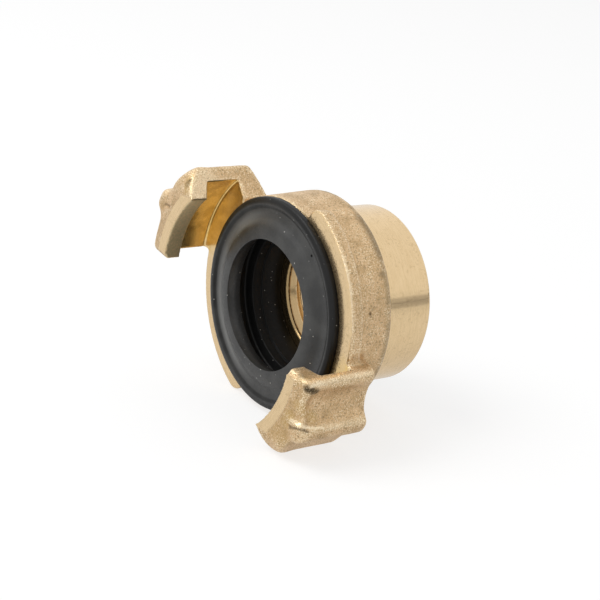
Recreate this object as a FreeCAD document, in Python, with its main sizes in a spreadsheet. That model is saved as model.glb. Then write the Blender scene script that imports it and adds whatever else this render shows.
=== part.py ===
import FreeCAD, Part
import math
import os

import Sketcher
from FreeCAD import Placement, Rotation, Vector

# Every driving size, in millimetres and degrees. Angles run about the axis of the coupling,
# counterclockwise as seen from its front, from one line of the casting drawing.
SIZES = [
    ("claw_spacing", 40.0, "diameter of the circle that the two claw lips lie on"),
    ("lip_overhang", 3.2, "how far the lips reach in over the turned channel"),
    ("lip_thickness", 3.2, "axial thickness of a lip at its inner edge"),
    ("lip_back_rise", 1.0, "how much thicker the lip is at the channel wall"),
    ("claw_height", 10.5, "front plane of the claws above the flange face"),
    ("claw_wall", 2.7, "wall of a claw outside the channel"),
    ("claw_far_angle", 20.6, "end face of a claw away from its ear"),
    ("claw_ear_angle", 63.0, "end face of a claw beside its ear"),
    ("claw_root_drop", 5.5, "foot of the claw's rear slope below the flange face"),
    ("claw_back_drop", 3.5, "rear edge of the claw's back below the flange face"),
    ("claw_end_round", 0.9, "rounding of the claw's ends and of its cut corner"),
    ("front_strip", 2.2, "width of the turned strip on the front of a claw"),
    ("front_fall", 0.7, "fall of the front from that strip to the claw's rim"),
    ("ridge_fall", 1.5, "further fall of the front out to the ridge's crest"),
    ("ridge_angle", 42.3, "crest of the grip ridge"),
    ("ridge_far_spread", 7.0, "angle from the crest to the ridge's foot on the far side"),
    ("ridge_near_spread", 6.5, "angle from the crest to the ridge's foot on the ear's side"),
    ("ridge_height", 1.7, "crest of the grip ridge above the claw's wall"),
    ("rim_drop", 0.7, "rim round the finger scoop below the claw's wall"),
    ("scoop_angle", 53.7, "middle of the finger scoop"),
    ("scoop_depth", 0.9, "depth of the finger scoop below its rim"),
    ("scoop_radius", 4.8, "hollow radius of the finger scoop"),
    ("scoop_front", 1.1, "front end of the scoop behind the claw's front plane"),
    ("scoop_run_out", 1.4, "axial run of the slope at the scoop's front end"),
    ("corner_angle", 16.4, "how far the cut corner of a claw faces back past the zero line"),
    ("corner_inset", 3.9, "where the cut corner leaves the front, inside the lip circle"),
    ("corner_run", 4.8, "how far the cut corner reaches outward from there"),
    ("corner_drop", 4.6, "how far the cut corner falls behind the front plane"),
    ("corner_bow", 0.6, "bow of the cut corner's surface outside its chord"),
    ("tip_run", 1.0, "length of the bevel at the front of the claw's end beside its ear"),
    ("tip_drop", 0.7, "fall of that bevel at the end face"),
    ("ear_clearance", 1.3, "gap between an ear and the other half's channel wall"),
    ("ear_thickness", 2.6, "axial thickness of an ear at its rim"),
    ("ear_back_rise", 0.9, "how much thicker an ear is at the neck"),
    ("ear_overlap", 3.0, "angle by which an ear runs into the claw beside it"),
    ("ear_far_angle", 139.5, "free end of an ear"),
    ("ear_end_round", 2.6, "rounding of an ear's free end"),
    ("neck_clearance", 1.3, "gap between the neck and the lips of the other half"),
    ("neck_draft", 0.4, "how much wider the cast neck is at its rear than at the flange face"),
    ("neck_length", 11.1, "flange face above the step of the socket"),
    ("collar_round", 1.2, "rounding of the neck's rear edge"),
    ("socket_length", 11.0, "turned socket behind the neck"),
    ("socket_wall", 2.54, "wall of the socket outside the thread"),
    ("socket_chamfer", 0.3, "chamfer of the socket's outer edge"),
    ("thread_diameter", 26.44, "bore at the roots of the female pipe thread"),
    ("thread_lead_in", 0.6, "countersink at the mouth of the thread"),
    ("seat_height", 0.8, "floor of the seal's seat in front of the step of the socket"),
    ("web_thickness", 2.2, "ring of brass between thread and seal"),
    ("web_bore", 20.6, "diameter of the waterway through that ring"),
    ("web_chamfer", 0.4, "chamfer on the front edge of the waterway"),
    ("mouth_wall", 2.2, "wall of the neck at the mouth of the seal's seat"),
    ("undercut_depth", 0.7, "undercut that holds the seal's flange"),
    ("undercut_length", 3.8, "axial length of that undercut"),
    ("seal_side_gap", 0.1, "gap round the seal in its seat"),
    ("seal_step_gap", 0.2, "gap in front of the seal's flange"),
    ("seal_edge_margin", 0.12, "flange face left free outside the seal's lip"),
    ("seal_proud", 2.0, "front of the seal above the flange face"),
    ("seal_edge_drop", 1.0, "outer edge of the lip behind the seal's front"),
    ("seal_rim", 1.5, "radial width of the sloping rim of the lip"),
    ("seal_rim_drop", 0.65, "crest of that rim behind the seal's front"),
    ("seal_bead", 0.5, "radial width of the bead between rim and dish"),
    ("seal_dish_drop", 0.8, "floor of the shallow dish behind the seal's front"),
    ("seal_band", 1.6, "radial width of the raised band round the front hole"),
    ("seal_band_drop", 0.15, "outer edge of that band behind the seal's front"),
    ("seal_band_slope", 0.65, "radial width of the slope from the band to the dish"),
    ("seal_face_width", 7.23, "radial width of the seal's front, from its edge to its hole"),
    ("seal_lip_taper", 0.9, "widening of the hole from the front to the inner groove"),
    ("seal_groove_height", 5.9, "rear edge of the inner groove above the seal's rear"),
    ("seal_groove_length", 3.1, "axial opening of the inner groove"),
    ("seal_groove_slope", 0.4, "axial run of each slanted flank of the inner groove"),
    ("seal_groove_depth", 1.8, "depth of the inner groove"),
    ("seal_rear_wall", 4.0, "wall of the seal at its rear, inside the mouth of the seat"),
    ("seal_step_height", 4.1, "height of that wall above the seal's rear"),
    ("seal_step", 0.4, "widening of the bore in front of that height"),
    ("rest_angle", -18.6, "angle of the line that points up as the coupling lies"),
]

doc = FreeCAD.newDocument("claw_hose_coupling")
sheet = doc.addObject("Spreadsheet::Sheet", "sizes")
for row, (alias, value, meaning) in enumerate(SIZES, start=1):
    sheet.set(f"A{row}", meaning)
    sheet.set(f"B{row}", str(value))
    sheet.setAlias(f"B{row}", alias)
doc.recompute()


def size(alias):
    """The expression that reads one cell of the sheet."""
    return f"sizes.{alias}"


# Radii and heights that several features share, as expressions of the cells. Heights are
# measured along the axis from the rear face of the socket.
LIP_RADIUS = f"({size('claw_spacing')} / 2)"
CHANNEL_RADIUS = f"({LIP_RADIUS} + {size('lip_overhang')})"
CLAW_RADIUS = f"({CHANNEL_RADIUS} + {size('claw_wall')})"
RIM_RADIUS = f"({CLAW_RADIUS} - {size('rim_drop')})"
CREST_RADIUS = f"({CLAW_RADIUS} + {size('ridge_height')})"
OUTSIDE_RADIUS = f"({CREST_RADIUS} + {size('claw_wall')})"
STRIP_RADIUS = f"({LIP_RADIUS} + {size('front_strip')})"
EAR_RADIUS = f"({CHANNEL_RADIUS} - {size('ear_clearance')})"
NECK_RADIUS = f"({LIP_RADIUS} - {size('neck_clearance')})"
COLLAR_RADIUS = f"({NECK_RADIUS} + {size('neck_draft')})"
ROOT_RADIUS = f"({NECK_RADIUS} - {size('mouth_wall')} / 2)"
THREAD_RADIUS = f"({size('thread_diameter')} / 2)"
SOCKET_RADIUS = f"({THREAD_RADIUS} + {size('socket_wall')})"
MOUTH_RADIUS = f"({NECK_RADIUS} - {size('mouth_wall')})"
UNDERCUT_RADIUS = f"({MOUTH_RADIUS} + {size('undercut_depth')})"
WEB_RADIUS = f"({size('web_bore')} / 2)"
FACE = f"({size('socket_length')} + {size('neck_length')})"
FRONT = f"({FACE} + {size('claw_height')})"
BEYOND_FRONT = f"({FRONT} + {size('claw_wall')})"
LIP_BACK = f"({FRONT} - {size('lip_thickness')})"
SEAT = f"({size('socket_length')} + {size('seat_height')})"
THREAD_END = f"({SEAT} - {size('web_thickness')})"
UNDERCUT_TOP = f"({SEAT} + {size('undercut_length')})"
CLAW_FOOT = f"({FACE} - {size('claw_root_drop')})"
CLAW_BACK = f"({FACE} - {size('claw_back_drop')})"
EAR_BACK = f"({FACE} - {size('ear_thickness')})"
EAR_START = f"({size('claw_ear_angle')} - {size('ear_overlap')})"


def evaluate(owner, expression):
    """The present value of an expression, as a plain number."""
    value = owner.evalExpression(expression)
    return float(getattr(value, "Value", value))


def plane_of(body, role):
    """One of the body's own origin planes."""
    return next(plane for plane in body.Origin.OriginFeatures if plane.Role == role)


def sketch_on(body, name, role, turn=None, lift=None):
    """An empty sketch on an origin plane, turned about the axis or lifted along it."""
    sketch = body.newObject("Sketcher::SketchObject", name)
    sketch.AttachmentSupport = [(plane_of(body, role), "")]
    sketch.MapMode = "FlatFace"
    if turn is not None:
        sketch.AttachmentOffset = Placement(Vector(0, 0, 0), Rotation(Vector(0, 1, 0), 1))
        sketch.setExpression("AttachmentOffset.Rotation.Angle", turn)
    if lift is not None:
        sketch.setExpression("AttachmentOffset.Base.z", lift)
    return sketch


def hold(sketch, geometry, point, corner):
    """Holds a point of the sketch at a pair of expressions."""
    for letter, expression in zip("XY", corner):
        if expression == "0":
            axis = -2 if letter == "X" else -1
            sketch.addConstraint(Sketcher.Constraint("PointOnObject", geometry, point, axis))
            continue
        number = evaluate(sketch, expression)
        place = sketch.addConstraint(
            Sketcher.Constraint(f"Distance{letter}", -1, 1, geometry, point, number)
        )
        label = f"{letter.lower()}_{geometry}"
        sketch.renameConstraint(place, label)
        sketch.setExpression(f"Constraints.{label}", expression)


def spot(sketch, corner):
    """The present place of a pair of expressions in the sketch."""
    return Vector(*[evaluate(sketch, part) for part in corner], 0)


def outline(sketch, corners, bows=None):
    """A closed outline through corners given as pairs of expressions.

    Its edges are straight, apart from those in bows, which maps the number of an edge to the
    pair of expressions of a point that the edge bows through, counterclockwise.
    """
    bows = bows or {}
    points = [spot(sketch, corner) for corner in corners]
    count = len(corners)
    for index in range(count):
        start = points[index]
        end = points[(index + 1) % count]
        if index in bows:
            sketch.addGeometry(Part.Arc(start, spot(sketch, bows[index]), end), False)
        else:
            sketch.addGeometry(Part.LineSegment(start, end), False)
    for index in range(count):
        sketch.addConstraint(Sketcher.Constraint("Coincident", index, 2, (index + 1) % count, 1))
    for index, corner in enumerate(corners):
        hold(sketch, index, 1, corner)
    for index, corner in bows.items():
        crest = sketch.addGeometry(Part.Point(spot(sketch, corner)), True)
        hold(sketch, crest, 1, corner)
        sketch.addConstraint(Sketcher.Constraint("PointOnObject", crest, 1, index))


def revolved(body, name, kind, corners, turn=None, sweep=None, bows=None, about=None):
    """A Revolution or Groove of an outline of corners (radius, height).

    It turns about the coupling's axis, or about a line beside it at the radius given by about.
    """
    sketch = sketch_on(body, f"{name}_outline", "XZ_Plane", turn=turn)
    outline(sketch, corners, bows)
    axis = "V_Axis"
    if about is not None:
        foot = (about, "0")
        line = Part.LineSegment(spot(sketch, foot), spot(sketch, (about, FRONT)))
        geometry = sketch.addGeometry(line, True)
        sketch.addConstraint(Sketcher.Constraint("Vertical", geometry))
        hold(sketch, geometry, 1, foot)
        axis = "Axis0"
    feature = body.newObject(f"PartDesign::{kind}", name)
    feature.Profile = sketch
    feature.ReferenceAxis = (sketch, [axis])
    feature.Angle = 360
    if sweep is not None:
        feature.setExpression("Angle", sweep)
    doc.recompute()
    return feature


def extruded(body, name, kind, sketch, length, both_ways=False):
    """A Pad or Pocket of a sketch over a length given as an expression."""
    feature = body.newObject(f"PartDesign::{kind}", name)
    feature.Profile = sketch
    feature.setExpression("Length", length)
    feature.Midplane = both_ways
    feature.Reversed = kind == "Pocket" and not both_ways
    doc.recompute()
    return feature


def polar(radius, angle):
    """The pair of expressions of a point given by its radius and its angle about the axis."""
    return (f"{radius} * cos({angle})", f"{radius} * sin({angle})")


def middle(edge):
    """The radius, angle and height of the point halfway along an edge."""
    point = edge.valueAt((edge.FirstParameter + edge.LastParameter) / 2)
    return math.hypot(point.x, point.y), math.degrees(math.atan2(point.y, point.x)), point.z


def near(value, owner, expression):
    """Whether a value agrees with an expression within the width of a hair."""
    return abs(value - evaluate(owner, expression)) < 0.02


def rounded(body, name, base, radius, chosen):
    """A Fillet along those edges of the base feature that a test chooses."""
    feature = body.newObject("PartDesign::Fillet", name)
    numbered = enumerate(base.Shape.Edges, start=1)
    feature.Base = (base, [f"Edge{number}" for number, edge in numbered if chosen(edge)])
    feature.setExpression("Radius", radius)
    doc.recompute()
    return feature


def core(body):
    """The turned blank: the pipe socket and the neck, solid up to the flange face."""
    bow = f"{size('collar_round')} * (1 - cos(45))"
    return revolved(body, "core", "Revolution", [
        ("0", "0"),
        (f"{SOCKET_RADIUS} - {size('socket_chamfer')}", "0"),
        (SOCKET_RADIUS, size("socket_chamfer")),
        (SOCKET_RADIUS, size("socket_length")),
        (f"{COLLAR_RADIUS} - {size('collar_round')}", size("socket_length")),
        (COLLAR_RADIUS, f"{size('socket_length')} + {size('collar_round')}"),
        (NECK_RADIUS, FACE),
        ("0", FACE),
    ], bows={4: (f"{COLLAR_RADIUS} - {bow}", f"{size('socket_length')} + {bow}")})


def ear(body):
    """One of the two ears that slide behind the lips of the other half."""
    rib = revolved(body, "ear", "Revolution", [
        (ROOT_RADIUS, FACE),
        (EAR_RADIUS, FACE),
        (EAR_RADIUS, EAR_BACK),
        (COLLAR_RADIUS, f"{EAR_BACK} - {size('ear_back_rise')}"),
        (ROOT_RADIUS, f"{EAR_BACK} - {size('ear_back_rise')}"),
    ], turn=EAR_START, sweep=f"{size('ear_far_angle')} - {EAR_START}")

    def free_end(edge):
        radius, angle, _ = middle(edge)
        return near(radius, rib, EAR_RADIUS) and near(angle, rib, size("ear_far_angle"))

    return rounded(body, "ear_tip", rib, size("ear_end_round"), free_end)


def claw(body):
    """One claw: a hooked wall with a grip ridge, a finger scoop and a cut corner."""
    far_foot = f"({size('ridge_angle')} - {size('ridge_far_spread')})"
    near_foot = f"({size('ridge_angle')} + {size('ridge_near_spread')})"
    wall_outline = sketch_on(body, "claw_outline", "XY_Plane", lift=CLAW_FOOT)
    outline(wall_outline, [
        polar(ROOT_RADIUS, size("claw_far_angle")),
        polar(CLAW_RADIUS, size("claw_far_angle")),
        polar(CLAW_RADIUS, far_foot),
        polar(RIM_RADIUS, near_foot),
        polar(RIM_RADIUS, size("claw_ear_angle")),
        polar(ROOT_RADIUS, size("claw_ear_angle")),
    ], bows={2: polar(CREST_RADIUS, size("ridge_angle"))})
    extruded(body, "claw", "Pad", wall_outline, f"{FRONT} - {CLAW_FOOT}")
    revolved(body, "claw_back", "Groove", [
        (COLLAR_RADIUS, CLAW_FOOT),
        (OUTSIDE_RADIUS, CLAW_FOOT),
        (OUTSIDE_RADIUS, CLAW_BACK),
        (CLAW_RADIUS, CLAW_BACK),
    ])
    rim_height = f"{FRONT} - {size('front_fall')}"
    revolved(body, "front_bevel", "Groove", [
        (STRIP_RADIUS, FRONT),
        (RIM_RADIUS, rim_height),
        (CREST_RADIUS, f"{rim_height} - {size('ridge_fall')}"),
        (OUTSIDE_RADIUS, f"{rim_height} - {size('ridge_fall')}"),
        (OUTSIDE_RADIUS, BEYOND_FRONT),
        (STRIP_RADIUS, BEYOND_FRONT),
    ])
    corner_outline = sketch_on(body, "cut_corner_outline", "XZ_Plane",
                               turn=f"-{size('corner_angle')}")
    run = size("corner_run")
    drop = size("corner_drop")
    start = f"({LIP_RADIUS} - {size('corner_inset')})"
    beyond = f"({start} + {run} + {size('claw_wall')})"
    push = f"{size('corner_bow')} / sqrt({run}^2 + {drop}^2)"
    outline(corner_outline, [
        (start, FRONT),
        (start, BEYOND_FRONT),
        (beyond, BEYOND_FRONT),
        (beyond, f"{FRONT} - {drop}"),
        (f"{start} + {run}", f"{FRONT} - {drop}"),
    ], bows={4: (f"{start} + {run} / 2 + {drop} * {push}",
                 f"{FRONT} - {drop} / 2 + {run} * {push}")})
    extruded(body, "cut_corner", "Pocket", corner_outline, size("claw_spacing"), both_ways=True)
    tip_outline = sketch_on(body, "tip_bevel_outline", "XZ_Plane",
                            turn=f"{size('claw_ear_angle')} + 90")
    outline(tip_outline, [
        (f"-{size('tip_run')}", FRONT),
        (size("tip_run"), f"{FRONT} - 2 * {size('tip_drop')}"),
        (size("tip_run"), BEYOND_FRONT),
        (f"-{size('tip_run')}", BEYOND_FRONT),
    ])
    extruded(body, "tip_bevel", "Pocket", tip_outline, f"2 * {OUTSIDE_RADIUS}", both_ways=True)
    scoop_centre = f"({RIM_RADIUS} - {size('scoop_depth')} + {size('scoop_radius')})"
    scoop_floor = f"({scoop_centre} - {size('scoop_radius')})"
    scoop_end = f"({FRONT} - {size('scoop_front')})"
    scoop = revolved(body, "scoop", "Groove", [
        (scoop_floor, CLAW_FOOT),
        (scoop_floor, f"{scoop_end} - {size('scoop_run_out')}"),
        (RIM_RADIUS, scoop_end),
        (scoop_centre, scoop_end),
        (scoop_centre, CLAW_FOOT),
    ], turn=size("scoop_angle"), about=scoop_centre)

    def end_of_claw(edge):
        radius, angle, _ = middle(edge)
        far = near(radius, scoop, CLAW_RADIUS) and near(angle, scoop, size("claw_far_angle"))
        close = near(radius, scoop, RIM_RADIUS) and near(angle, scoop, size("claw_ear_angle"))
        return far or close

    return rounded(body, "claw_ends", scoop, size("claw_end_round"), end_of_claw)


def coupling_body():
    """The casting with its turned channel, flange face, seal seat, waterway and socket."""
    body = doc.addObject("PartDesign::Body", "coupling_body")
    body.Label = "coupling_body"
    core(body)
    ear(body)
    half = claw(body)
    pair = body.newObject("PartDesign::PolarPattern", "second_half")
    pair.Originals = [half]
    pair.TransformMode = "Whole shape"
    pair.Axis = (doc.getObject("core_outline"), ["V_Axis"])
    pair.Angle = 360
    pair.Occurrences = 2
    body.Tip = pair
    doc.recompute()
    revolved(body, "turned_front", "Groove", [
        ("0", FACE),
        (CHANNEL_RADIUS, FACE),
        (CHANNEL_RADIUS, f"{LIP_BACK} - {size('lip_back_rise')}"),
        (LIP_RADIUS, LIP_BACK),
        (LIP_RADIUS, BEYOND_FRONT),
        ("0", BEYOND_FRONT),
    ])
    revolved(body, "bore_and_seat", "Groove", [
        ("0", "0"),
        (f"{THREAD_RADIUS} + {size('thread_lead_in')}", "0"),
        (THREAD_RADIUS, size("thread_lead_in")),
        (THREAD_RADIUS, THREAD_END),
        (WEB_RADIUS, THREAD_END),
        (WEB_RADIUS, f"{SEAT} - {size('web_chamfer')}"),
        (f"{WEB_RADIUS} + {size('web_chamfer')}", SEAT),
        (UNDERCUT_RADIUS, SEAT),
        (UNDERCUT_RADIUS, UNDERCUT_TOP),
        (MOUTH_RADIUS, UNDERCUT_TOP),
        (MOUTH_RADIUS, BEYOND_FRONT),
        ("0", BEYOND_FRONT),
    ])
    return body


def form_seal():
    """The rubber ring: a flange in the undercut, a neck, a broad lip and an inner groove."""
    body = doc.addObject("PartDesign::Body", "form_seal")
    body.Label = "form_seal"
    flange_radius = f"({UNDERCUT_RADIUS} - {size('seal_side_gap')})"
    neck_radius = f"({MOUTH_RADIUS} - {size('seal_side_gap')})"
    flange_top = f"({UNDERCUT_TOP} - {size('seal_step_gap')})"
    lip_radius = f"({NECK_RADIUS} - {size('seal_edge_margin')})"
    front = f"({FACE} + {size('seal_proud')})"
    rim_radius = f"({lip_radius} - {size('seal_rim')})"
    hole_radius = f"({lip_radius} - {size('seal_face_width')})"
    band_radius = f"({hole_radius} + {size('seal_band')})"
    rear_radius = f"({neck_radius} - {size('seal_rear_wall')})"
    step_radius = f"({rear_radius} + {size('seal_step')})"
    step_top = f"({SEAT} + {size('seal_step_height')})"
    groove_rear = f"({SEAT} + {size('seal_groove_height')})"
    groove_front = f"({groove_rear} + {size('seal_groove_length')})"
    groove_radius = f"({step_radius} + {size('seal_groove_depth')})"
    revolved(body, "seal", "Revolution", [
        (rear_radius, SEAT),
        (flange_radius, SEAT),
        (flange_radius, flange_top),
        (neck_radius, flange_top),
        (neck_radius, FACE),
        (lip_radius, FACE),
        (lip_radius, f"{front} - {size('seal_edge_drop')}"),
        (rim_radius, f"{front} - {size('seal_rim_drop')}"),
        (f"{rim_radius} - {size('seal_bead')}", f"{front} - {size('seal_dish_drop')}"),
        (f"{band_radius} + {size('seal_band_slope')}", f"{front} - {size('seal_dish_drop')}"),
        (band_radius, f"{front} - {size('seal_band_drop')}"),
        (hole_radius, front),
        (f"{hole_radius} + {size('seal_lip_taper')}", groove_front),
        (groove_radius, f"{groove_front} - {size('seal_groove_slope')}"),
        (groove_radius, f"{groove_rear} + {size('seal_groove_slope')}"),
        (step_radius, groove_rear),
        (step_radius, step_top),
        (rear_radius, step_top),
    ])
    return body


def laid_down(body):
    """Turns a body from its axis upright to lying, its rear face's centre at the origin."""
    axes = Rotation(Vector(0, 0, 1), Vector(-1, 0, 0), Vector(0, -1, 0), "XYZ")
    roll = Rotation(Vector(0, 0, 1), -evaluate(body, size("rest_angle")))
    body.Placement = Placement(Vector(0, 0, 0), axes.multiply(roll))


bodies = [coupling_body(), form_seal()]
for body in bodies:
    laid_down(body)
doc.recompute()

for item in doc.Objects:
    if "Invalid" in item.State or "Error" in item.State:
        raise RuntimeError(f"{item.Label} did not compute: {item.State}")
for body in bodies:
    if body.Shape.isNull() or not body.Shape.isValid() or len(body.Shape.Solids) != 1:
        raise RuntimeError(f"{body.Label} is not one sound solid")

os.makedirs("parts", exist_ok=True)
for body in bodies:
    body.Shape.exportStep(f"parts/{body.Label}.step")
    print(body.Label, round(body.Shape.Volume, 1), "mm3,", len(body.Shape.Faces), "faces")
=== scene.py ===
"""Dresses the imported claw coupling: softened casting, pipe thread, seal and a studio."""

import logging
import math
from collections.abc import Iterator
from contextlib import contextmanager
from dataclasses import dataclass
from enum import Enum

import bpy
import numpy as np
from mathutils import Matrix, Vector
from mathutils.bvhtree import BVHTree


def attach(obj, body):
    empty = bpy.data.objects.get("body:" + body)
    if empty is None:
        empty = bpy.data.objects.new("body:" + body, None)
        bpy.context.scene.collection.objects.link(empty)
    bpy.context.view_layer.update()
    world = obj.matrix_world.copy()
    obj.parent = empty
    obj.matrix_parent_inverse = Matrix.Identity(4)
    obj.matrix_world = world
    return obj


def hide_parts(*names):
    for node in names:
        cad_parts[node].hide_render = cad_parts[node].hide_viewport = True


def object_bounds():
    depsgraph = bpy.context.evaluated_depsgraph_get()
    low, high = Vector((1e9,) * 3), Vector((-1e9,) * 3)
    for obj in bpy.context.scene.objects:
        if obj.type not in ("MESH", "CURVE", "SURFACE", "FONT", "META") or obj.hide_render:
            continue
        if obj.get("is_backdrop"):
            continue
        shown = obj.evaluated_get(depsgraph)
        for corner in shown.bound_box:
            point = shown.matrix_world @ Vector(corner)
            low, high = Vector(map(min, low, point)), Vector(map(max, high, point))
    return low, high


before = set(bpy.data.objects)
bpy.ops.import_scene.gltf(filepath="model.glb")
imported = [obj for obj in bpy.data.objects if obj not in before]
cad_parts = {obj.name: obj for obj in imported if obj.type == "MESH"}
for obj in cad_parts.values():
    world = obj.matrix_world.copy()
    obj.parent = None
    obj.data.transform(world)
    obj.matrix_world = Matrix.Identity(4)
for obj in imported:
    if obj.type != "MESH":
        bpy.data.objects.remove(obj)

LOG = logging.getLogger("claw_coupling")
BODY = "root"
MM = 0.001
WHITE = (1, 1, 1, 1)
DEGREES_PER_RADIAN = 57.3
Socket = bpy.types.NodeSocket

# Radii and depths are in millimetres and turns in degrees, unless said otherwise. Depths are
# negative in front of the rear face, as y is. A pair says where something starts and ends.
SOCKET_DEPTH = -11.0
FLANGE_DEPTH = -22.1
FRONT_DEPTH = -32.6
FORWARD = np.array([0.0, -1.0, 0.0])


class Region(Enum):
    """The kinds of surface on the casting."""

    CAST = 0
    TURNED = 1
    LIP = 2
    CHANNEL = 3


def ramp(values: np.ndarray, low: float, high: float) -> np.ndarray:
    """Eases from 0 at low to 1 at high.

    Args:
        values: The values to ease.
        low: The value that gives 0.
        high: The value that gives 1.

    Returns:
        The eased values.
    """
    share = np.clip((values - low) / (high - low), 0.0, 1.0)
    return share * share * (3.0 - 2.0 * share)


def add_object(name: str, data: bpy.types.ID) -> bpy.types.Object:
    """Adds an object to the scene.

    Args:
        name: Its name.
        data: Its mesh, lamp or camera.

    Returns:
        The object.
    """
    made = bpy.data.objects.new(name, data)
    bpy.context.collection.objects.link(made)
    return made


@dataclass(frozen=True)
class Piece:
    """A mesh in the making, with the operators that several pieces use."""

    body: bpy.types.Object

    def select_only(self) -> None:
        """Makes the piece the only selected and the active object."""
        bpy.ops.object.select_all(action="DESELECT")
        self.body.select_set(True)
        bpy.context.view_layer.objects.active = self.body

    @contextmanager
    def editing(self, picked: str = "SELECT") -> Iterator[None]:
        """Opens the mesh for editing and closes it after.

        Args:
            picked: SELECT to begin with every point selected, DESELECT with none.

        Yields:
            Nothing, once the mesh is open.
        """
        self.select_only()
        bpy.ops.object.mode_set(mode="EDIT")
        bpy.ops.mesh.select_all(action=picked)
        yield
        bpy.ops.object.mode_set(mode="OBJECT")

    def modify(self, kind: str, **settings: object) -> None:
        """Adds a modifier and applies it.

        Args:
            kind: The modifier's type.
            settings: Values for the modifier's properties.
        """
        self.select_only()
        modifier = self.body.modifiers.new(kind.lower(), kind)
        for name, value in settings.items():
            setattr(modifier, name, value)
        bpy.ops.object.modifier_apply(modifier=modifier.name)

    def merge(self, distance: float) -> None:
        """Joins the doubled points of the mesh and turns its faces outwards.

        Args:
            distance: Greatest distance between doubled points, in metres.
        """
        with self.editing():
            bpy.ops.mesh.remove_doubles(threshold=distance)
            bpy.ops.mesh.normals_make_consistent(inside=False)

    def read(self, name: str = "co") -> np.ndarray:
        """Reads the places or the normals of the points.

        Args:
            name: Either co or normal.

        Returns:
            One row of x, y and z per point, places in metres.
        """
        flat = np.empty(len(self.body.data.vertices) * 3)
        self.body.data.vertices.foreach_get(name, flat)
        return flat.reshape(-1, 3)

    def move_points(self, places: np.ndarray) -> None:
        """Writes the places of the points.

        Args:
            places: One row of x, y and z per point, in metres.
        """
        self.body.data.vertices.foreach_set("co", places.reshape(-1))
        self.body.data.update()

    def paint(self, name: str, values: np.ndarray) -> None:
        """Stores one number per point for a material to read.

        Args:
            name: The attribute's name.
            values: One number per point.
        """
        layer = self.body.data.attributes.new(name, "FLOAT", "POINT")
        layer.data.foreach_set("value", values.astype(np.float32))

    def average(self, values: np.ndarray, rounds: int) -> np.ndarray:
        """Averages values over the points beside each point.

        Args:
            values: One row per point.
            rounds: How many times to average.

        Returns:
            The averaged values.
        """
        mesh = self.body.data
        edges = np.empty(len(mesh.edges) * 2, dtype=np.int64)
        mesh.edges.foreach_get("vertices", edges)
        first, second = edges.reshape(-1, 2).T
        count = len(mesh.vertices)
        degree = np.bincount(first, minlength=count) + np.bincount(second, minlength=count)
        table = values.reshape(count, -1)
        for _ in range(rounds):
            columns = []
            for column in table.T:
                total = np.bincount(first, column[second], count)
                total += np.bincount(second, column[first], count)
                columns.append(total / degree)
            table = np.stack(columns, axis=1)
        return table.reshape(values.shape)

    def smooth(self, shares: np.ndarray, rounds: int) -> None:
        """Smooths the mesh where shares are above zero.

        Args:
            shares: How far each point follows, from 0 to 1.
            rounds: How many times to smooth.
        """
        group = self.body.vertex_groups.new(name="softened")
        steps = np.round(shares * 10).astype(int)
        for step in range(1, 11):
            group.add(np.flatnonzero(steps == step).tolist(), step / 10, "REPLACE")
        self.modify("SMOOTH", factor=0.5, iterations=rounds, vertex_group=group.name)
        self.body.vertex_groups.clear()


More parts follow.
